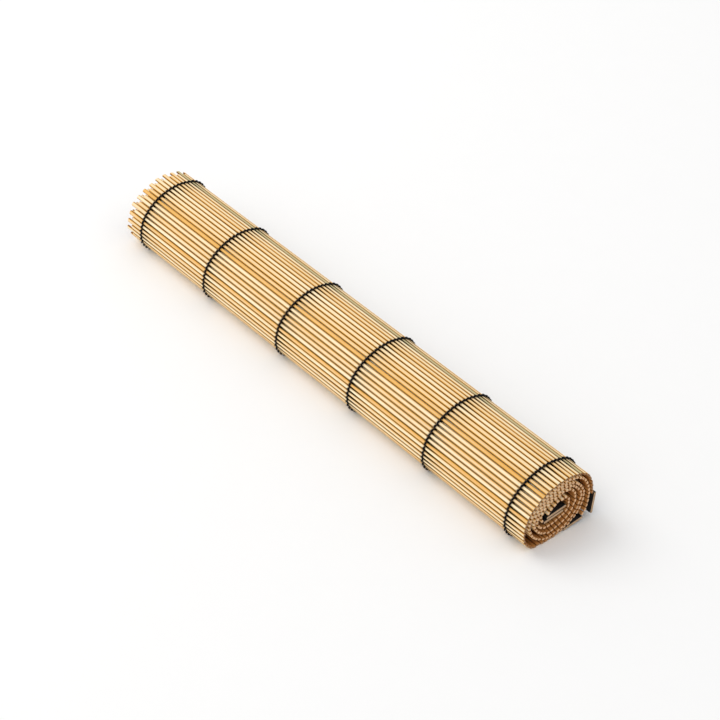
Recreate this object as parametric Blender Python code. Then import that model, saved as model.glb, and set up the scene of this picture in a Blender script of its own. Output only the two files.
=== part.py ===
"""A bamboo placemat, rolled up: two leaves of tied sticks wound together, with black end slats.

The roll lies along X. Its right end, at +X, shows the winding. Z is up from the surface that it lies on.
"""
import math
from collections import namedtuple

import bmesh
import bpy
from mathutils import Vector

# Driving sizes, in metres
STICK_LENGTH = 0.452
STICK_THICK = 0.0021
STICK_PITCH = 0.0033
WEB_THICK = 0.0009
SHORTER_AT_LEFT = 0.0050
SLAT_WIDTH = 0.0170
SLAT_THICK = 0.0020
SLAT_LENGTH = 0.450
SLAT_BEVEL = 0.0004
YARN_WIDTH = 0.0014
YARN_THICK = 0.0008
CLEARANCE = 0.0003
YARN_LINES = (-0.2090, -0.1283, -0.0396, 0.0424, 0.1239, 0.2077)

# Where the roll's middle stands over the surface, and how softly the outer turn meets it
CENTRE_Y = -0.0012
CENTRE_Z = 0.0247
FLOOR_BLEND = 0.0012

# Distance in millimetres from the roll's middle to the centre line of each leaf, at the hours of a clock
# that is seen from the right end. The winding is followed inwards, against the clock's hands.
HOURS = ("five", "four", "three", "two", "one", "twelve", "eleven", "ten", "nine", "eight", "seven", "six")
FIRST_HOUR_ANGLE = -60.0
HOUR_ANGLE = 360.0 / len(HOURS)
OUTER_TURNS = (
    (36.4, 33.6, 29.5, 28.6, 23.5, 20.4, 20.1, 22.7, 27.7, 32.4, 30.0, 22.5),
    (21.5, 21.4, 22.1, 20.0, 17.9, 15.3, 15.0, 17.3, 20.9, 21.3, 19.5, 15.8),
    (13.8, 14.0, 14.2, 14.4, 12.6, 10.0, 9.9, 11.9, 15.0, 14.6, 13.0, 12.0),
)
INNER_TURNS = (
    (30.0, 28.2, 26.4, 24.9, 20.8, 17.9, 17.6, 20.0, 24.4, 25.9, 24.2, 20.2),
    (18.8, 18.7, 19.5, 17.4, 15.3, 12.7, 12.5, 14.6, 18.0, 18.3, 12.7, 9.0),
    (9.2, 9.6, 8.7, 8.5, 6.0, 5.0, 5.0, 5.8, 8.3, 10.8, 12.0, 12.0),
)
# Angles in degrees, from the right and anticlockwise, at which each leaf of sticks starts and ends
OUTER_SPAN = (-9.0, 923.0)
INNER_SPAN = (-42.0, 914.0)

# The end slats: where each starts, sideways of the roll's middle and over the surface, and which way it runs
Slat = namedtuple("Slat", "name start_y start_z angle")
SLATS = (
    Slat("slat_right", 0.0330, 0.0194, -98.0),
    Slat("slat_under", 0.0228, 0.0034, 187.5),
    Slat("slat_core_low", -0.0122, 0.0171, 7.5),
    Slat("slat_core_top", -0.0099, 0.0198, 8.0),
)

# A stick's rib in the section: how far across the stick, in pitches, and its share of the stick's thickness
RibPoint = namedtuple("RibPoint", "across thickness")
RIB = (
    RibPoint(-0.5, WEB_THICK / STICK_THICK),
    RibPoint(-0.29, 0.86),
    RibPoint(0.0, 1.0),
    RibPoint(0.29, 0.86),
)
STEP_DEGREES = 1.0
TOUCHING = 0.000001


def clear_scene():
    for item in list(bpy.data.objects):
        bpy.data.objects.remove(item, do_unlink=True)


def make_material(name, colour, roughness):
    material = bpy.data.materials.new(name)
    material.use_nodes = True
    shader = material.node_tree.nodes["Principled BSDF"]
    shader.inputs["Base Color"].default_value = (*colour, 1.0)
    shader.inputs["Roughness"].default_value = roughness
    shader.inputs["Metallic"].default_value = 0.0
    return material


def radius_at(turns, degrees):
    """Distance from the roll's middle at an angle, smooth through the hours of all turns."""
    radii = [value / 1000.0 for turn in turns for value in turn]
    place = (degrees - FIRST_HOUR_ANGLE) / HOUR_ANGLE
    index = min(max(int(math.floor(place)), 1), len(radii) - 3)
    part = place - index
    before, here, after, beyond = radii[index - 1:index + 3]
    slope = (after - before) / 2.0
    next_slope = (beyond - here) / 2.0
    rise = after - here
    return (here + slope * part + (3.0 * rise - 2.0 * slope - next_slope) * part ** 2
            + (slope + next_slope - 2.0 * rise) * part ** 3)


def above_floor(height, lowest):
    """The height, or where it would pass below the lowest one, a soft blend onto that."""
    over = height - lowest
    if over >= FLOOR_BLEND:
        return height
    if over <= -FLOOR_BLEND:
        return lowest
    return lowest + (over + FLOOR_BLEND) ** 2 / (4.0 * FLOOR_BLEND)


def centre_line(turns, span):
    """Points of a leaf's centre line in the roll's section, from its outer end to its inner end."""
    count = int(round((span[1] - span[0]) / STEP_DEGREES))
    points = []
    for index in range(count + 1):
        degrees = span[0] + (span[1] - span[0]) * index / count
        radius = radius_at(turns, degrees)
        y = CENTRE_Y + radius * math.cos(math.radians(degrees))
        z = CENTRE_Z + radius * math.sin(math.radians(degrees))
        points.append(Vector((0.0, y, above_floor(z, STICK_THICK / 2.0))))
    return points


def walk(points, distances):
    """Place and direction on a line of points at each of the rising distances along it."""
    found = []
    index = 0
    passed = 0.0
    for distance in distances:
        length = (points[index + 1] - points[index]).length
        while passed + length < distance and index < len(points) - 2:
            passed += length
            index += 1
            length = (points[index + 1] - points[index]).length
        along = (points[index + 1] - points[index]).normalized()
        found.append((points[index] + along * (distance - passed), along))
    return found


def line_length(points):
    return sum((after - before).length for before, after in zip(points, points[1:]))


def leaf_edges(points):
    """The leaf's outer and inner outlines in the section: a rib for each stick, and a point to close.

    Where the leaf lies on the surface its underside has no ribs, so that the roll has a flat to rest on.
    """
    length = line_length(points)
    count = int(length / STICK_PITCH)
    pitch = length / count
    stations = [(pitch * (index + 0.5 + rib.across), rib.thickness) for index in range(count) for rib in RIB]
    stations.append((length, RIB[0].thickness))
    outer, inner = [], []
    for (_, thickness), (place, along) in zip(stations, walk(points, [distance for distance, _ in stations])):
        outward = Vector((0.0, along.z, -along.y))
        lies_flat = place.z <= STICK_THICK / 2.0 + TOUCHING
        below = place + outward * (1.0 if lies_flat else thickness) * STICK_THICK / 2.0
        below.z = max(below.z, 0.0)
        outer.append(below)
        inner.append(place - outward * thickness * STICK_THICK / 2.0)
    return outer, inner


def finish_mesh(bm, name, material):
    bmesh.ops.recalc_face_normals(bm, faces=bm.faces[:])
    mesh = bpy.data.meshes.new(name)
    bm.to_mesh(mesh)
    bm.free()
    mesh.materials.append(material)
    item = bpy.data.objects.new(name, mesh)
    bpy.context.scene.collection.objects.link(item)
    return item


def extrude_along_x(bm, faces, distance):
    moved = bmesh.ops.extrude_face_region(bm, geom=faces)["geom"]
    verts = [part for part in moved if isinstance(part, bmesh.types.BMVert)]
    bmesh.ops.translate(bm, vec=(distance, 0.0, 0.0), verts=verts)


def make_leaf(name, turns, span, material):
    """One leaf of the mat: a stick to each rib, joined by thin webs, every other stick longer at the left."""
    outer, inner = leaf_edges(centre_line(turns, span))
    left_end = SHORTER_AT_LEFT - STICK_LENGTH / 2.0
    bm = bmesh.new()
    outer_verts = [bm.verts.new(point + Vector((left_end, 0.0, 0.0))) for point in outer]
    inner_verts = [bm.verts.new(point + Vector((left_end, 0.0, 0.0))) for point in inner]
    step = len(RIB)
    ends = []
    for first in range(0, len(outer_verts) - 1, step):
        ring = outer_verts[first:first + step + 1] + inner_verts[first:first + step + 1][::-1]
        ends.append(bm.faces.new(ring))
    extrude_along_x(bm, ends, STICK_LENGTH - SHORTER_AT_LEFT)
    long_ends = bmesh.ops.extrude_discrete_faces(bm, faces=ends[::2])["faces"]
    tips = {vert for end in long_ends for vert in end.verts}
    bmesh.ops.translate(bm, vec=(-SHORTER_AT_LEFT, 0.0, 0.0), verts=list(tips))
    return finish_mesh(bm, name, material)


def make_slat(slat, material):
    """A flat end slat with eased edges, from its start and along its angle in the roll's section."""
    bm = bmesh.new()
    bmesh.ops.create_cube(bm, size=1.0)
    bmesh.ops.scale(bm, vec=(SLAT_LENGTH, SLAT_WIDTH, SLAT_THICK), verts=bm.verts)
    long_edges = [e for e in bm.edges if abs((e.verts[0].co - e.verts[1].co).x) > SLAT_WIDTH]
    bmesh.ops.bevel(bm, geom=long_edges, offset=SLAT_BEVEL, offset_type="OFFSET", segments=1, profile=0.5,
                    affect="EDGES", material=-1)
    item = finish_mesh(bm, slat.name, material)
    turn = math.radians(slat.angle)
    middle_y = CENTRE_Y + slat.start_y + math.cos(turn) * SLAT_WIDTH / 2.0
    middle_z = slat.start_z + math.sin(turn) * SLAT_WIDTH / 2.0
    item.location = (0.0, middle_y, middle_z)
    item.rotation_euler = (turn, 0.0, 0.0)
    return item


def make_yarn(name, x, material):
    """One line of yarn: a band over the crowns of the outer leaf, down to where that meets the surface."""
    points = centre_line(OUTER_TURNS, OUTER_SPAN)
    landing = next(i for i, point in enumerate(points) if point.z < STICK_THICK)
    reach = line_length(points[:landing]) - STICK_PITCH
    count = int(reach / STICK_PITCH)
    gap = STICK_THICK / 2.0 + CLEARANCE
    bm = bmesh.new()
    under, over = [], []
    for place, along in walk(points, [STICK_PITCH * index for index in range(count + 1)]):
        outward = Vector((0.0, along.z, -along.y))
        start = place + Vector((x - YARN_WIDTH / 2.0, 0.0, 0.0))
        under.append(bm.verts.new(start + outward * gap))
        over.append(bm.verts.new(start + outward * (gap + YARN_THICK)))
    faces = [bm.faces.new((under[i], under[i + 1], over[i + 1], over[i])) for i in range(count)]
    extrude_along_x(bm, faces, YARN_WIDTH)
    return finish_mesh(bm, name, material)


def build():
    clear_scene()
    bamboo = make_material("bamboo", (0.80, 0.55, 0.25), 0.45)
    lacquer = make_material("black_lacquer", (0.012, 0.010, 0.010), 0.35)
    yarn = make_material("black_yarn", (0.010, 0.010, 0.012), 0.85)
    make_leaf("mat_outer", OUTER_TURNS, OUTER_SPAN, bamboo)
    make_leaf("mat_inner", INNER_TURNS, INNER_SPAN, bamboo)
    for slat in SLATS:
        make_slat(slat, lacquer)
    for index, x in enumerate(YARN_LINES):
        make_yarn(f"yarn_{index + 1}", x, yarn)


build()
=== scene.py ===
"""The looks of a rolled bamboo placemat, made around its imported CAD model.

The mat is two leaves of sticks wound together. The roll lies along X with its wound end at +X, and Z is up.
"""
import math
import random
from collections import namedtuple

import bmesh
import bpy
from bpy.props import FloatProperty, FloatVectorProperty, PointerProperty
from bpy.types import Operator, Panel, PropertyGroup
from mathutils import Matrix, Vector, noise


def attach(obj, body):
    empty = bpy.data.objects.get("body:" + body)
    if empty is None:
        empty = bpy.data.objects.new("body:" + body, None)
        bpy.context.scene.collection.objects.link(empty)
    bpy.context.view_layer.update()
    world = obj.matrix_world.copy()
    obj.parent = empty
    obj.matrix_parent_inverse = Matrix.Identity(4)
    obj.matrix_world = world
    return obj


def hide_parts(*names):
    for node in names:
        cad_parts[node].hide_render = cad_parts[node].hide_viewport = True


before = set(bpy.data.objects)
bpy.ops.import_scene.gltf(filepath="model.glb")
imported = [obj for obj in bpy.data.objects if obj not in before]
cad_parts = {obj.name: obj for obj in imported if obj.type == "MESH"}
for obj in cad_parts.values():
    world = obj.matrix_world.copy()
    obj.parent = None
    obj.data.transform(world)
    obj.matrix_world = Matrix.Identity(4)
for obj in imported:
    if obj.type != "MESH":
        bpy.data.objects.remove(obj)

bl_info = {
    "name": "Rolled bamboo placemat",
    "version": (1, 0, 0),
    "blender": (4, 5, 0),
    "location": "3D View > Sidebar > Placemat",
    "description": "Makes the sticks, the yarn, the slats and the stage of a rolled bamboo placemat",
    "category": "Add Mesh",
}

# The section of the CAD model: distances in millimetres from the roll's middle to each leaf's centre line,
# at the hours of a clock seen from the right end, with the winding followed inwards against its hands
STICK_PITCH = 0.0033
CENTRE_Y = -0.0012
CENTRE_Z = 0.0247
FLOOR_BLEND = 0.0012
FIRST_HOUR_ANGLE = -60.0
HOUR_ANGLE = 30.0
STEP_DEGREES = 1.0
OUTER_TURNS = (
    (36.4, 33.6, 29.5, 28.6, 23.5, 20.4, 20.1, 22.7, 27.7, 32.4, 30.0, 22.5),
    (21.5, 21.4, 22.1, 20.0, 17.9, 15.3, 15.0, 17.3, 20.9, 21.3, 19.5, 15.8),
    (13.8, 14.0, 14.2, 14.4, 12.6, 10.0, 9.9, 11.9, 15.0, 14.6, 13.0, 12.0),
)
INNER_TURNS = (
    (30.0, 28.2, 26.4, 24.9, 20.8, 17.9, 17.6, 20.0, 24.4, 25.9, 24.2, 20.2),
    (18.8, 18.7, 19.5, 17.4, 15.3, 12.7, 12.5, 14.6, 18.0, 18.3, 12.7, 9.0),
    (9.2, 9.6, 8.7, 8.5, 6.0, 5.0, 5.0, 5.8, 8.3, 10.8, 12.0, 12.0),
)
# Angles in degrees, from the right and anticlockwise, at which each leaf starts and ends
OUTER_SPAN = (-9.0, 923.0)
INNER_SPAN = (-42.0, 914.0)
YARN_LINES = (-0.2090, -0.1283, -0.0396, 0.0424, 0.1239, 0.2077)

# The end slats: where each starts, sideways of the roll's middle and over the surface, and its direction
Slat = namedtuple("Slat", "name start_y start_z angle")
SLATS = (
    Slat("slat_right", 0.0330, 0.0194, -98.0),
    Slat("slat_under", 0.0228, 0.0034, 187.5),
    Slat("slat_core_low", -0.0122, 0.0171, 7.5),
    Slat("slat_core_top", -0.0099, 0.0198, 8.0),
)
SLAT_WIDTH = 0.0170
SLAT_THICK = 0.0020
SLAT_LENGTH = 0.450

# How much is eased off a slat's long edges and off the edges of its sawn ends
SLAT_EASING = 0.0006
SLAT_END_EASING = 0.00012

# A leaf of sticks: the node that it stands for, its winding and the angles between which that runs, the seed
# of its sticks, its width when laid flat, and what it lies on
Leaf = namedtuple("Leaf", "name turns span seed flat_width rests_on")
LEAVES = (
    Leaf("mat_outer", OUTER_TURNS, OUTER_SPAN, 11, 0.3235, "floor"),
    Leaf("mat_inner", INNER_TURNS, INNER_SPAN, 23, 0.2734, "sticks_outer"),
)

# A stick: its place and its directions in the section, its two ends along X, its width, thickness and tilt,
# how golden and how green it is, how much its sawn ends are browned, and its own place in the noise
Stick = namedtuple("Stick", "place along outward left right width thick tilt tone green rim drift")

# What each point of a stick carries: the number of its stick, how far it is to the side and to the back of
# the section, the stick's tone, green and rim, and how far the stick is pinched there
Layers = namedtuple("Layers", "stick side back tone green rim pinch")

# Two sticks of the outer leaf that differ from the rest: the leaf's node and the place in its row
GOLDEN_STICK = ("mat_outer", 18)
GOLDEN_TONE = 0.80
GREEN_STICK = ("mat_outer", 8)

# How much further than in the CAD model the longest sticks reach at the left
FRINGE_REACH = 0.0025

# How far the sticks of the floor row are held up by the yarn under them
FLOOR_SLACK = 0.00035

# How unlike one another the sticks are: how far short they may fall at either end, their width and thickness
# as shares, their tilt in degrees, their tone as a bell curve, and how far apart they are in the noise
LEFT_SHORTFALL = 0.0016
RIGHT_SHORTFALL = 0.0007
WIDTH_SHARES = (0.935, 1.0)
THICK_SHARES = (0.93, 1.05)
TILT_DEGREES = 3.0
TONE_MIDDLE = 0.27
TONE_SPREAD = 0.11
NOISE_LENGTH = 100.0

# The turns of the outer leaf, from its outer end, over which the browning of the sawn ends fades
BROWN_TURNS = (0.75, 1.25)

# The uneven way of a stick along X: waves to a metre, and how far they go, in metres or as a share
Waves = namedtuple("Waves", "per_metre reach")
BEND = Waves(9.0, 0.00016)
LIFT = Waves(7.0, 0.00010)
SWELL = Waves(30.0, 0.03)
SWELL_ROW = 7.0

# Stations along a stick, from a yarn line: close to it the stick is pinched, mostly on its right
YARN_STATIONS = (-0.0035, -0.0010, 0.0006, 0.0040, 0.0110, 0.0240)
PINCH_FADE_LEFT = 0.0016
PINCH_FADE_RIGHT = 0.0085

# How far the outermost stations stay from the ends of the shortest sticks, and the least gap to the others
LEFT_MARGIN = 0.003
RIGHT_MARGIN = 0.006
STATION_GAP = 0.002

# A stick's section: an oval whose two powers square its corners. At its ends it is rounded to a smaller one
STICK_SIDES = 12
POWER_ACROSS = 0.55
POWER_OVER = 0.80
END_ROUND = 0.0003
END_SWELL = 0.86

# Steps between the rings at the ends of the still straight sticks, by which each ring is told apart
RING_STEP = 1.0

# A strand's way over one stick: how far across, how high over its middle, how far it sways along X, and how
# thick it is there
STRAND_STATIONS = (
    (-0.50, 0.05, -0.00010, 0.60),
    (-0.36, 0.78, 0.00016, 0.78),
    (-0.18, 1.0, 0.00026, 1.06),
    (0.0, 1.08, 0.0, 1.18),
    (0.18, 1.0, -0.00026, 1.06),
    (0.36, 0.78, -0.00016, 0.78),
)
STRAND_TWIST = math.radians(50.0)

# The section of a strand of two plies: its sides, its middling radius and how much that changes, as shares
STRAND_SIDES = 6
PLY_MIDDLE = 0.92
PLY_CHANGE = 0.20

# In radii of the yarn: how high a strand runs over a stick, and how high at least over the surface
STRAND_HEIGHT = 0.85
STRAND_OVER_FLOOR = 1.35

# The yarn's loop round a slat: its steps along either face, and its height over them in thicknesses of yarn
LOOP_STEPS = 12
LOOP_HEIGHT = 0.45

# Points closer together than this are one point
TOUCHING = 0.000001

# Fixed colours of the finishes and of the painted shade beside the yarn, as linear values, and how deep their
# relief is
YARN_SHADE = (0.010, 0.006, 0.004)
BAMBOO_FIBRE = (0.30, 0.14, 0.05)
SLAT_FIBRE = (0.10, 0.05, 0.025)
WORN_LACQUER = (0.035, 0.024, 0.018)
YARN_FIBRE = (0.022, 0.020, 0.021)
RELIEF = 0.0002

# The photo's camera, solved from the yarn lines and the outline of the near end
CAMERA_PLACE = Vector((1.067909, -0.836957, 1.059750))
CAMERA_RIGHT = Vector((0.622876, 0.782320, 0.0))
CAMERA_UP = Vector((-0.479254, 0.381578, 0.790389))
CAMERA_LENS = 120.679
SENSOR_WIDTH = 36.0

# A light: where it stands, how wide it is, its power in watts and its colour
Light = namedtuple("Light", "name place size power colour")
LIGHTS = (
    Light("key", (-1.5, -0.7, 1.9), 2.0, 20.0, (1.0, 0.99, 0.97)),
    Light("front", (0.6, -2.2, 1.4), 1.8, 3.0, (1.0, 0.99, 0.98)),
)
SKY_STRENGTH = 0.82
FLOOR_REACH = 6.0


class RollSizes(PropertyGroup):
    """Sizes of the sticks and the yarn that a user may change."""

    stick_length: FloatProperty(
        name="Stick length", description="Length of the longest sticks",
        default=0.452, min=0.1, max=1.0, unit="LENGTH")
    stick_width: FloatProperty(
        name="Stick width", description="Width of a stick along the leaf, halfway between two yarns",
        default=0.00312, min=0.001, max=0.0033, unit="LENGTH", precision=5)
    stick_thick: FloatProperty(
        name="Stick thickness", description="Thickness of a stick from its crown to its back",
        default=0.00175, min=0.0008, max=0.0021, unit="LENGTH", precision=5)
    shorter_at_left: FloatProperty(
        name="Shorter at the left", description="How far every other stick ends short at the left",
        default=0.0050, min=0.0, max=0.02, unit="LENGTH", precision=4)
    pinch: FloatProperty(
        name="Pinch at the yarn", description="Share of its width that a stick gives up beside a yarn",
        default=0.28, min=0.0, max=0.4, subtype="FACTOR")
    yarn_thick: FloatProperty(
        name="Yarn thickness", description="Thickness of one twisted strand of yarn",
        default=0.0016, min=0.0003, max=0.002, unit="LENGTH", precision=5)


class RollColours(PropertyGroup):
    """Colours of the finishes and of the painted shade on the sticks, as linear values."""

    crown: FloatVectorProperty(
        name="Bamboo crown", description="The pale face of a light stick",
        default=(1.0, 0.90, 0.64), min=0.0, max=1.0, subtype="COLOR")
    gold: FloatVectorProperty(
        name="Golden bamboo", description="The face of a darker stick",
        default=(0.84, 0.43, 0.075), min=0.0, max=1.0, subtype="COLOR")
    # Painted shade: this brown stands for the shade on the sides of the sticks in the gaps between them
    flank_shade: FloatVectorProperty(
        name="Bamboo flank", description="The brown sides of a stick in the gaps",
        default=(0.20, 0.060, 0.006), min=0.0, max=1.0, subtype="COLOR")
    # Painted shade: this brown stands for the shade on the faces of the sticks inside the roll
    back: FloatVectorProperty(
        name="Bamboo back", description="The brown face of a stick that looks into the roll",
        default=(0.46, 0.20, 0.055), min=0.0, max=1.0, subtype="COLOR")
    green: FloatVectorProperty(
        name="Green bamboo", description="The face of an unripe, greenish stick",
        default=(0.58, 0.50, 0.26), min=0.0, max=1.0, subtype="COLOR")
    cut: FloatVectorProperty(
        name="Cut bamboo", description="The pale sawn ends of the sticks",
        default=(0.80, 0.49, 0.27), min=0.0, max=1.0, subtype="COLOR")
    lacquer: FloatVectorProperty(
        name="Black lacquer", description="The painted faces of the end slats",
        default=(0.008, 0.007, 0.007), min=0.0, max=1.0, subtype="COLOR")
    slat_cut: FloatVectorProperty(
        name="Cut slat", description="The bare sawn ends of the slats",
        default=(0.55, 0.36, 0.21), min=0.0, max=1.0, subtype="COLOR")
    yarn: FloatVectorProperty(
        name="Black yarn", description="The twisted yarn that ties the sticks",
        default=(0.006, 0.005, 0.006), min=0.0, max=1.0, subtype="COLOR")
    floor: FloatVectorProperty(
        name="Floor", description="The plain pale surface under the roll",
        default=(0.96, 0.96, 0.96), min=0.0, max=1.0, subtype="COLOR")


def radius_at(turns, degrees):
    """Distance from the roll's middle at an angle, smooth through the hours of all turns."""
    radii = [value / 1000.0 for turn in turns for value in turn]
    place = (degrees - FIRST_HOUR_ANGLE) / HOUR_ANGLE
    index = min(max(int(math.floor(place)), 1), len(radii) - 3)
    part = place - index
    before, here, after, beyond = radii[index - 1:index + 3]
    slope = (after - before) / 2.0
    next_slope = (beyond - here) / 2.0
    rise = after - here
    return (here + slope * part + (3.0 * rise - 2.0 * slope - next_slope) * part ** 2
            + (slope + next_slope - 2.0 * rise) * part ** 3)


def above_floor(height, lowest):
    """The height, or where it would pass below the lowest one, a soft blend onto that."""
    over = height - lowest
    if over >= FLOOR_BLEND:
        return height
    if over <= -FLOOR_BLEND:
        return lowest
    return lowest + (over + FLOOR_BLEND) ** 2 / (4.0 * FLOOR_BLEND)


def centre_line(turns, span, lowest):
    """Points of a leaf's centre line in the roll's section, from its outer end to its inner end."""
    count = int(round((span[1] - span[0]) / STEP_DEGREES))
    points = []
    for index in range(count + 1):
        degrees = span[0] + (span[1] - span[0]) * index / count
        radius = radius_at(turns, degrees)
        y = CENTRE_Y + radius * math.cos(math.radians(degrees))
        z = CENTRE_Z + radius * math.sin(math.radians(degrees))
        points.append(Vector((0.0, y, above_floor(z, lowest))))
    return points


def walk(points, distances):
    """Place and direction on a line of points at each of the rising distances along it."""
    found = []
    index = 0
    passed = 0.0
    for distance in distances:
        length = (points[index + 1] - points[index]).length
        while passed + length < distance and index < len(points) - 2:
            passed += length
            index += 1
            length = (points[index + 1] - points[index]).length
        along = (points[index + 1] - points[index]).normalized()
        found.append((points[index] + along * (distance - passed), along))
    return found


def smooth_rise(value, low, high):
    """0 below low, 1 above high, and an even S between them."""
    share = min(max((value - low) / (high - low), 0.0), 1.0)
    return share * share * (3.0 - 2.0 * share)


def stick_middles(leaf, sizes):
    """Place and direction of each stick of a leaf in the roll's section."""
    points = centre_line(leaf.turns, leaf.span, sizes.stick_thick / 2.0 + FLOOR_SLACK)
    length = sum((after - before).length for before, after in zip(points, points[1:]))
    count = int(length / STICK_PITCH)
    pitch = length / count
    return walk(points, [pitch * (index + 0.5) for index in range(count)])


def outward_of(along):
    """The direction out of the roll, square to a direction along the leaf."""
    return Vector((0.0, along.z, -along.y))


def plan_sticks(leaf, sizes):
    """Each stick of a leaf with its own place, ends, section and tone."""
    dice = random.Random(leaf.seed)
    middles = stick_middles(leaf, sizes)
    turn_sticks = len(middles) * 360.0 / (leaf.span[1] - leaf.span[0])
    sticks = []
    for index, (place, along) in enumerate(middles):
        left = -sizes.stick_length / 2.0 - FRINGE_REACH + dice.uniform(0.0, LEFT_SHORTFALL)
        if index % 2:
            left += sizes.shorter_at_left
        right = sizes.stick_length / 2.0 - dice.uniform(0.0, RIGHT_SHORTFALL)
        golden = (leaf.name, index) == GOLDEN_STICK
        tone = GOLDEN_TONE if golden else dice.gauss(TONE_MIDDLE, TONE_SPREAD)
        rim = 0.0
        if leaf.name == "mat_outer":
            rim = 1.0 - smooth_rise(index, turn_sticks * BROWN_TURNS[0], turn_sticks * BROWN_TURNS[1])
        sticks.append(Stick(
            place=place,
            along=along,
            outward=outward_of(along),
            left=left,
            right=right,
            width=sizes.stick_width * dice.uniform(*WIDTH_SHARES),
            thick=sizes.stick_thick * dice.uniform(*THICK_SHARES),
            tilt=math.radians(dice.uniform(-TILT_DEGREES, TILT_DEGREES)),
            tone=min(max(tone, 0.0), 1.0),
            green=1.0 if (leaf.name, index) == GREEN_STICK else 0.0,
            rim=rim,
            drift=dice.uniform(0.0, NOISE_LENGTH)))
    return sticks


def stick_stations(sizes):
    """Places along X at which every stick has a ring of points, apart from its two rounded ends."""
    low = sizes.shorter_at_left + LEFT_MARGIN - sizes.stick_length / 2.0
    high = sizes.stick_length / 2.0 - RIGHT_MARGIN
    places = sorted(line + step for line in YARN_LINES for step in YARN_STATIONS)
    return [low] + [place for place in places if low + STATION_GAP < place < high - STATION_GAP] + [high]


def pinch_at(x):
    """How far a stick is pinched at a place along it, from 0 to 1."""
    pinched = 0.0
    for line in YARN_LINES:
        beyond = x - line
        fade = PINCH_FADE_LEFT if beyond < 0.0 else PINCH_FADE_RIGHT
        pinched = max(pinched, math.exp(-abs(beyond) / fade))
    return pinched


def add_stick_section(bm, stick, index, layers):
    """One face in the shape of a stick's section: a flat oval, nearly square at its corners."""
    ring = bmesh.ops.create_circle(bm, cap_ends=True, segments=STICK_SIDES, radius=1.0)["verts"]
    for vert in ring:
        across = math.copysign(abs(vert.co.x) ** POWER_ACROSS, vert.co.x)
        over = math.copysign(abs(vert.co.y) ** POWER_OVER, vert.co.y)
        vert.co = Vector((across * stick.width / 2.0, over * stick.thick / 2.0, 0.0))
        vert[layers.stick] = index
        vert[layers.side] = abs(across)
        vert[layers.back] = 0.5 - over / 2.0
    axes = Matrix((stick.along, stick.outward, Vector((-1.0, 0.0, 0.0)))).transposed()
    turn = Matrix.Rotation(stick.tilt, 3, "Z")
    bmesh.ops.transform(bm, matrix=(axes @ turn).to_4x4(), verts=ring)
    bmesh.ops.translate(bm, vec=stick.place, verts=ring)
    return ring[0].link_faces[0]


def shape_stick_point(vert, stick, stations, layers, sizes):
    """Moves one point of a straight stick to where the real stick's uneven surface is."""
    x = vert.co.x
    swell = 1.0
    past_left, past_right = stations[0] - x, x - stations[-1]
    if past_left > RING_STEP * 1.5:
        x, swell = stick.left, END_SWELL
    elif past_left > RING_STEP * 0.5:
        x = stick.left + END_ROUND
    elif past_right > RING_STEP * 1.5:
        x, swell = stick.right, END_SWELL
    elif past_right > RING_STEP * 0.5:
        x = stick.right - END_ROUND
    pinched = pinch_at(x)
    from_middle = vert.co - stick.place
    across = from_middle.dot(stick.along) * (1.0 - sizes.pinch * pinched) * swell
    over = from_middle.dot(stick.outward) * swell
    bend = noise.noise(Vector((x * BEND.per_metre, stick.drift, 0.0))) * BEND.reach
    lift = noise.noise(Vector((x * LIFT.per_metre, 0.0, stick.drift))) * LIFT.reach
    width = 1.0 + noise.noise(Vector((x * SWELL.per_metre, stick.drift, SWELL_ROW))) * SWELL.reach
    vert.co = stick.place + stick.along * (across * width + bend) + stick.outward * (over + lift)
    vert.co.x = x
    vert[layers.tone] = stick.tone
    vert[layers.green] = stick.green
    vert[layers.rim] = stick.rim
    vert[layers.pinch] = pinched


def make_sticks(leaf, sizes):
    """All sticks of a leaf in one mesh, each a closed rounded bar with its own small unevenness."""
    sticks = plan_sticks(leaf, sizes)
    bm = bmesh.new()
    layers = Layers(bm.verts.layers.int.new("stick"), *(
        bm.verts.layers.float.new(name) for name in Layers._fields[1:]))
    ends = [add_stick_section(bm, stick, index, layers) for index, stick in enumerate(sticks)]
    stations = stick_stations(sizes)
    rings = [
        stations[0] - 2.0 * RING_STEP, stations[0] - RING_STEP, *stations,
        stations[-1] + RING_STEP, stations[-1] + 2.0 * RING_STEP]
    bmesh.ops.translate(bm, vec=(rings[0], 0.0, 0.0), verts=bm.verts)
    for count, (before, after) in enumerate(zip(rings, rings[1:])):
        if count == 0:
            made = bmesh.ops.extrude_face_region(bm, geom=ends)["geom"]
            ends = [part for part in made if isinstance(part, bmesh.types.BMFace)]
        else:
            ends = bmesh.ops.extrude_discrete_faces(bm, faces=ends)["faces"]
        moved = list({vert for end in ends for vert in end.verts})
        bmesh.ops.translate(bm, vec=(after - before, 0.0, 0.0), verts=moved)
    for vert in bm.verts:
        shape_stick_point(vert, sticks[vert[layers.stick]], stations, layers, sizes)
    bmesh.ops.recalc_face_normals(bm, faces=bm.faces[:])
    for face in bm.faces:
        cap = len(face.verts) == STICK_SIDES
        face.material_index = 1 if cap else 0
        face.smooth = not cap
    return bm


def finish_piece(bm, name, materials, replaced):
    """A mesh object from a bmesh that rides on the model in the place of CAD nodes."""
    mesh = bpy.data.meshes.new(name)
    bm.to_mesh(mesh)
    bm.free()
    for material in materials:
        mesh.materials.append(material)
    piece = bpy.data.objects.new(name, mesh)
    bpy.context.scene.collection.objects.link(piece)
    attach(piece, "root")
    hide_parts(*replaced)
    return piece


def strand_points(middles, side, x, sizes):
    """The way of one strand of yarn over the sticks on one side of a leaf, with a dip at each gap."""
    radius = sizes.yarn_thick / 2.0
    top = sizes.stick_thick / 2.0 + radius * STRAND_HEIGHT
    points = []
    for place, along in middles:
        outward = outward_of(along) * side
        for share, height, sway, swell in STRAND_STATIONS:
            point = place + along * (share * STICK_PITCH) + outward * (top * height)
            point.x = x + side * sway
            point.z = max(point.z, radius * STRAND_OVER_FLOOR)
            points.append((point, swell))
    return points


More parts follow.
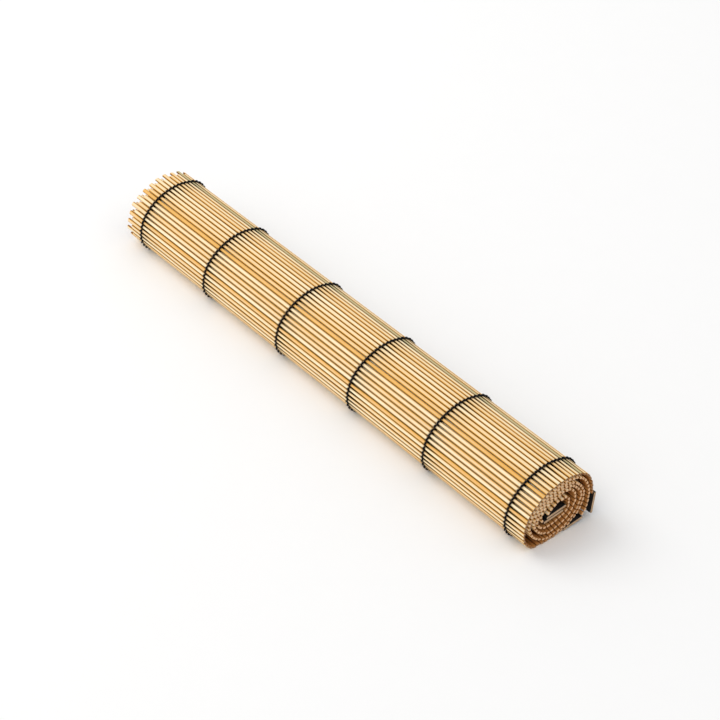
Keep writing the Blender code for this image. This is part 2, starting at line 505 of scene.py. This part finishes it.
def loop_points(slat, x, sizes):
    """The way of the yarn round a slat: over one face to the far edge, and back over the other face."""
    turn = math.radians(slat.angle)
    along = Vector((0.0, math.cos(turn), math.sin(turn)))
    over = Vector((0.0, -math.sin(turn), math.cos(turn)))
    start = Vector((x, CENTRE_Y + slat.start_y, slat.start_z))
    reach = sizes.yarn_thick * LOOP_HEIGHT
    points = []
    for side in (1.0, -1.0):
        for step in range(LOOP_STEPS + 1):
            share = step / LOOP_STEPS if side > 0.0 else 1.0 - step / LOOP_STEPS
            on_face = 0 < step < LOOP_STEPS
            height = SLAT_THICK / 2.0 + (reach if on_face else 0.0)
            distance = share * SLAT_WIDTH + (share * 2.0 - 1.0) * (0.0 if on_face else reach)
            points.append((start + along * distance + over * side * height, 1.0))
    return points


def strand_section(sizes):
    """A closed curve in the shape of a two-ply strand's section."""
    curve = bpy.data.curves.new("strand_section", "CURVE")
    curve.dimensions = "2D"
    spline = curve.splines.new("POLY")
    spline.points.add(STRAND_SIDES - 1)
    for index, point in enumerate(spline.points):
        turn = math.tau * index / STRAND_SIDES
        radius = sizes.yarn_thick / 2.0 * (PLY_MIDDLE + PLY_CHANGE * math.cos(2.0 * turn))
        point.co = (radius * math.cos(turn), radius * math.sin(turn), 0.0, 1.0)
    spline.use_cyclic_u = True
    section = bpy.data.objects.new("strand_section", curve)
    bpy.context.scene.collection.objects.link(section)
    return section


def add_strand(curve, points, closed=False):
    """One strand through its points, thicker or thinner at each, with the yarn's twist."""
    spline = curve.splines.new("POLY")
    spline.points.add(len(points) - 1)
    for index, (point, (place, swell)) in enumerate(zip(spline.points, points)):
        point.co = (*place, 1.0)
        point.radius = swell
        point.tilt = STRAND_TWIST * index
    spline.use_cyclic_u = closed


def make_yarn(name, x, sizes, section):
    """One line of yarn: two strands on each leaf, one outside and one inside, that meet in every gap."""
    curve = bpy.data.curves.new(name, "CURVE")
    curve.dimensions = "3D"
    curve.twist_mode = "MINIMUM"
    curve.bevel_mode = "OBJECT"
    curve.bevel_object = section
    curve.use_fill_caps = True
    for leaf in LEAVES:
        middles = stick_middles(leaf, sizes)
        for side in (1.0, -1.0):
            add_strand(curve, strand_points(middles, side, x, sizes))
    add_strand(curve, loop_points(SLATS[0], x, sizes), closed=True)
    carrier = bpy.data.objects.new(name + "_line", curve)
    bpy.context.scene.collection.objects.link(carrier)
    bpy.context.view_layer.update()
    mesh = bpy.data.meshes.new_from_object(carrier.evaluated_get(bpy.context.evaluated_depsgraph_get()))
    bm = bmesh.new()
    bm.from_mesh(mesh)
    bmesh.ops.remove_doubles(bm, verts=bm.verts[:], dist=TOUCHING)
    bmesh.ops.recalc_face_normals(bm, faces=bm.faces[:])
    for face in bm.faces:
        face.smooth = len(face.verts) == 4
    bpy.data.objects.remove(carrier)
    bpy.data.curves.remove(curve)
    bpy.data.meshes.remove(mesh)
    return bm


def is_sawn_end(face):
    """Whether a face of a slat looks along X."""
    return abs(face.normal.x) > 0.9


def make_slat(slat):
    """A painted board with eased edges and bare sawn ends, at its place in the section."""
    bm = bmesh.new()
    bmesh.ops.create_cube(bm, size=1.0)
    bmesh.ops.scale(bm, vec=(SLAT_LENGTH, SLAT_WIDTH, SLAT_THICK), verts=bm.verts)
    long_edges = [edge for edge in bm.edges if edge.calc_length() > SLAT_LENGTH / 2.0]
    bmesh.ops.bevel(bm, geom=long_edges, offset=SLAT_EASING, offset_type="OFFSET", segments=4, profile=0.5,
                    affect="EDGES", material=-1)
    rims = list({edge for face in bm.faces if is_sawn_end(face) for edge in face.edges})
    bmesh.ops.bevel(bm, geom=rims, offset=SLAT_END_EASING, offset_type="OFFSET", segments=1, profile=0.5,
                    affect="EDGES", material=-1)
    turn = math.radians(slat.angle)
    middle = Vector((0.0, CENTRE_Y + slat.start_y + math.cos(turn) * SLAT_WIDTH / 2.0,
                     slat.start_z + math.sin(turn) * SLAT_WIDTH / 2.0))
    bmesh.ops.transform(bm, matrix=Matrix.Translation(middle) @ Matrix.Rotation(turn, 4, "X"), verts=bm.verts)
    bmesh.ops.recalc_face_normals(bm, faces=bm.faces[:])
    for face in bm.faces:
        cap = is_sawn_end(face)
        face.material_index = 1 if cap else 0
        face.smooth = not cap
    return bm


class Shader:
    """A node material under construction, with short calls for its nodes."""

    def __init__(self, name):
        self.material = bpy.data.materials.new(name)
        self.material.use_nodes = True
        self.tree = self.material.node_tree
        self.principled = self.tree.nodes["Principled BSDF"]
        self.coordinates = self.tree.nodes.new("ShaderNodeTexCoord").outputs["Object"]

    def set(self, **values):
        """Sets inputs of the main node, with an underscore for each space of their names."""
        for key, value in values.items():
            self.principled.inputs[key.replace("_", " ")].default_value = value

    def join(self, source, target):
        """Links an output to an input."""
        self.tree.links.new(source, target)

    def feed(self, key, source):
        """Links an output to an input of the main node."""
        self.join(source, self.principled.inputs[key])

    def noise(self, scale, detail):
        """Noise on the piece's own coordinates, with its own scale along X, Y and Z."""
        mapping = self.tree.nodes.new("ShaderNodeMapping")
        mapping.inputs["Scale"].default_value = scale
        self.join(self.coordinates, mapping.inputs["Vector"])
        texture = self.tree.nodes.new("ShaderNodeTexNoise")
        texture.inputs["Scale"].default_value = 1.0
        texture.inputs["Detail"].default_value = detail
        self.join(mapping.outputs["Vector"], texture.inputs["Vector"])
        return texture.outputs["Fac"]

    def attribute(self, name):
        """The value that the mesh's points carry under a name."""
        node = self.tree.nodes.new("ShaderNodeAttribute")
        node.attribute_name = name
        return node.outputs["Fac"]

    def between(self, value, low, high, bottom=0.0, top=1.0):
        """The value mapped from one range to another and held inside it."""
        node = self.tree.nodes.new("ShaderNodeMapRange")
        self.join(value, node.inputs["Value"])
        for key, number in (("From Min", low), ("From Max", high), ("To Min", bottom), ("To Max", top)):
            node.inputs[key].default_value = number
        return node.outputs["Result"]

    def math(self, operation, first, second):
        """One operation on two values."""
        node = self.tree.nodes.new("ShaderNodeMath")
        node.operation = operation
        self.join(first, node.inputs[0])
        self.join(second, node.inputs[1])
        return node.outputs["Value"]

    def mix(self, share, first, second):
        """A blend of two colours, each a socket or three numbers."""
        node = self.tree.nodes.new("ShaderNodeMix")
        node.data_type = "RGBA"
        self.join(share, node.inputs["Factor"])
        for socket, value in ((node.inputs[6], first), (node.inputs[7], second)):
            if isinstance(value, bpy.types.NodeSocket):
                self.join(value, socket)
            else:
                socket.default_value = (*value, 1.0)
        return node.outputs[2]

    def bump(self, height, strength):
        """A shallow relief that follows a value."""
        node = self.tree.nodes.new("ShaderNodeBump")
        node.inputs["Strength"].default_value = strength
        node.inputs["Distance"].default_value = RELIEF
        self.join(height, node.inputs["Height"])
        self.feed("Normal", node.outputs["Normal"])


def dimmed(colour, share):
    """A colour with each of its values at a share of what it was."""
    return tuple(share * value for value in colour)


def bamboo_material(colours):
    """Split bamboo: a tone for each stick, fine streaks along it, and painted shade that turns its sides
    golden and its back and its flanks in the gaps brown.
    """
    shader = Shader("bamboo")
    side = shader.attribute("side")
    # The stick's own tone, with long patches, and painted shade that makes it more golden towards its sides
    patches = shader.between(shader.noise((14.0, 260.0, 260.0), 3.0), 0.3, 0.7, -0.13, 0.13)
    tone = shader.math("ADD", shader.attribute("tone"), patches)
    tone = shader.math("ADD", tone, shader.between(side, 0.38, 0.92, 0.0, 0.95))
    face = shader.mix(shader.between(tone, 0.0, 1.0), colours.crown, colours.gold)
    face = shader.mix(shader.attribute("green"), face, colours.green)
    # Fine dark streaks along the stick
    streaks = shader.noise((40.0, 2600.0, 2600.0), 4.0)
    face = shader.mix(shader.between(streaks, 0.52, 0.75, 0.0, 0.35), face, dimmed(colours.gold, 0.55))
    # Painted shade: the brown back that looks into the roll, the brown flanks in the gaps, and the near-black
    # shade beside the yarn
    face = shader.mix(shader.between(shader.attribute("back"), 0.5, 0.75), face, colours.back)
    colour = shader.mix(shader.between(side, 0.82, 0.96), face, colours.flank_shade)
    shaded = shader.math("MULTIPLY", shader.between(side, 0.60, 0.95),
                         shader.between(shader.attribute("pinch"), 0.12, 0.60))
    shader.feed("Base Color", shader.mix(shaded, colour, YARN_SHADE))
    shader.feed("Roughness", shader.between(streaks, 0.3, 0.7, 0.50, 0.68))
    shader.set(Specular_IOR_Level=0.15)
    shader.bump(streaks, 0.25)
    return shader.material


def cut_material(name, colour, dark):
    """Sawn end grain: pale wood with small darker fibre dots, browned in the middle where it is a rim's."""
    shader = Shader(name)
    dots = shader.noise((400.0, 4200.0, 4200.0), 2.0)
    patches = shader.noise((60.0, 420.0, 420.0), 2.0)
    base = shader.mix(shader.between(patches, 0.35, 0.65), colour, dimmed(colour, 0.78))
    base = shader.mix(shader.between(dots, 0.55, 0.70, 0.0, 0.75), base, dark)
    middle = shader.between(shader.attribute("side"), 0.80, 1.0, 1.0, 0.0)
    browned = shader.math("MULTIPLY", middle, shader.attribute("rim"))
    shader.feed("Base Color", shader.mix(browned, base, dimmed(dark, 0.7)))
    shader.set(Roughness=0.85)
    shader.bump(dots, 0.4)
    return shader.material


def lacquer_material(colours):
    """Black lacquer over wood, a little worn at its grain."""
    shader = Shader("black_lacquer")
    grain = shader.noise((12.0, 900.0, 900.0), 4.0)
    worn = shader.between(grain, 0.55, 0.8, 0.0, 0.6)
    shader.feed("Base Color", shader.mix(worn, colours.lacquer, WORN_LACQUER))
    shader.feed("Roughness", shader.between(grain, 0.3, 0.7, 0.35, 0.55))
    shader.set(Specular_IOR_Level=0.2)
    shader.bump(grain, 0.2)
    return shader.material


def yarn_material(colours):
    """Matt black twisted yarn with fine fibres."""
    shader = Shader("black_yarn")
    fibres = shader.noise((5200.0, 5200.0, 5200.0), 3.0)
    shader.feed("Base Color", shader.mix(shader.between(fibres, 0.4, 0.75), colours.yarn, YARN_FIBRE))
    shader.set(Roughness=0.92, Specular_IOR_Level=0.2)
    shader.bump(fibres, 0.5)
    return shader.material


def floor_material(colours):
    """A matt pale surface, nearly even."""
    shader = Shader("floor")
    grain = shader.between(shader.noise((40.0, 40.0, 40.0), 2.0), 0.3, 0.7)
    shader.feed("Base Color", shader.mix(grain, colours.floor, dimmed(colours.floor, 0.995)))
    shader.set(Roughness=0.9, Specular_IOR_Level=0.1)
    return shader.material


def make_floor(scene):
    """The level surface that the roll lies on."""
    bm = bmesh.new()
    bmesh.ops.create_grid(bm, x_segments=4, y_segments=4, size=FLOOR_REACH)
    mesh = bpy.data.meshes.new("floor")
    bm.to_mesh(mesh)
    bm.free()
    mesh.materials.append(floor_material(scene.placemat_colours))
    floor = bpy.data.objects.new("floor", mesh)
    scene.collection.objects.link(floor)


def make_light(scene, light):
    """A round area light that looks at the roll."""
    lamp = bpy.data.lights.new(light.name, "AREA")
    lamp.shape = "DISK"
    lamp.size = light.size
    lamp.energy = light.power
    lamp.color = light.colour
    holder = bpy.data.objects.new(light.name, lamp)
    holder.location = light.place
    holder.rotation_euler = (-Vector(light.place)).to_track_quat("-Z", "Y").to_euler()
    scene.collection.objects.link(holder)


def make_sky(scene):
    """An even white sky."""
    world = bpy.data.worlds.new("sky")
    world.use_nodes = True
    background = world.node_tree.nodes["Background"]
    background.inputs["Color"].default_value = (1.0, 1.0, 1.0, 1.0)
    background.inputs["Strength"].default_value = SKY_STRENGTH
    scene.world = world
    scene.view_settings.view_transform = "Standard"


def make_camera(scene):
    """The camera of the photo."""
    camera = bpy.data.objects.new("camera", bpy.data.cameras.new("camera"))
    camera.data.lens = CAMERA_LENS
    camera.data.sensor_width = SENSOR_WIDTH
    right = CAMERA_RIGHT.normalized()
    up = (CAMERA_UP - right * CAMERA_UP.dot(right)).normalized()
    axes = Matrix((right, up, right.cross(up))).transposed()
    camera.matrix_world = Matrix.Translation(CAMERA_PLACE) @ axes.to_4x4()
    scene.collection.objects.link(camera)
    scene.camera = camera


class PLACEMAT_OT_sticks(Operator):
    """Makes both leaves of bamboo sticks"""

    bl_idname = "placemat.sticks"
    bl_label = "Make the sticks"

    def execute(self, context):
        sizes, colours = context.scene.placemat_sizes, context.scene.placemat_colours
        materials = (bamboo_material(colours), cut_material("bamboo_cut", colours.cut, BAMBOO_FIBRE))
        for leaf in LEAVES:
            bm = make_sticks(leaf, sizes)
            piece = finish_piece(bm, leaf.name.replace("mat", "sticks"), materials, [leaf.name])
        return {"FINISHED"}


class PLACEMAT_OT_yarn(Operator):
    """Makes the six lines of yarn that tie the sticks"""

    bl_idname = "placemat.yarn"
    bl_label = "Make the yarn"

    def execute(self, context):
        sizes = context.scene.placemat_sizes
        material = yarn_material(context.scene.placemat_colours)
        section = strand_section(sizes)
        for index, x in enumerate(YARN_LINES):
            name = f"yarn_line_{index + 1}"
            finish_piece(make_yarn(name, x, sizes, section), name, [material], [f"yarn_{index + 1}"])
        bpy.data.objects.remove(section)
        return {"FINISHED"}


class PLACEMAT_OT_slats(Operator):
    """Makes the four lacquered end slats"""

    bl_idname = "placemat.slats"
    bl_label = "Make the slats"

    def execute(self, context):
        colours = context.scene.placemat_colours
        materials = (lacquer_material(colours), cut_material("slat_cut", colours.slat_cut, SLAT_FIBRE))
        for slat in SLATS:
            finish_piece(make_slat(slat), slat.name.replace("slat", "board"), materials, [slat.name])
        return {"FINISHED"}


class PLACEMAT_OT_stage(Operator):
    """Makes the floor, the lights, the sky and the camera"""

    bl_idname = "placemat.stage"
    bl_label = "Make the stage"

    def execute(self, context):
        make_floor(context.scene)
        for light in LIGHTS:
            make_light(context.scene, light)
        make_sky(context.scene)
        make_camera(context.scene)
        return {"FINISHED"}


class PLACEMAT_PT_roll(Panel):
    """Lists the steps that make the rolled placemat"""

    bl_idname = "PLACEMAT_PT_roll"
    bl_label = "Rolled placemat"
    bl_space_type = "VIEW_3D"
    bl_region_type = "UI"
    bl_category = "Placemat"

    def draw(self, context):
        for group in (context.scene.placemat_sizes, context.scene.placemat_colours):
            box = self.layout.box()
            for key in group.bl_rna.properties.keys():
                if key not in {"rna_type", "name"}:
                    box.prop(group, key)
        for step in STEPS:
            self.layout.operator(step.bl_idname)


STEPS = (PLACEMAT_OT_sticks, PLACEMAT_OT_yarn, PLACEMAT_OT_slats, PLACEMAT_OT_stage)
CLASSES = (RollSizes, RollColours, *STEPS, PLACEMAT_PT_roll)


def register():
    for item in CLASSES:
        bpy.utils.register_class(item)
    bpy.types.Scene.placemat_sizes = PointerProperty(type=RollSizes)
    bpy.types.Scene.placemat_colours = PointerProperty(type=RollColours)


def unregister():
    del bpy.types.Scene.placemat_colours
    del bpy.types.Scene.placemat_sizes
    for item in reversed(CLASSES):
        bpy.utils.unregister_class(item)


def main():
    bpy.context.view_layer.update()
    register()
    bpy.ops.placemat.sticks()
    bpy.ops.placemat.yarn()
    bpy.ops.placemat.slats()
    bpy.ops.placemat.stage()
    bpy.context.view_layer.update()


if __name__ == "__main__":
    main()
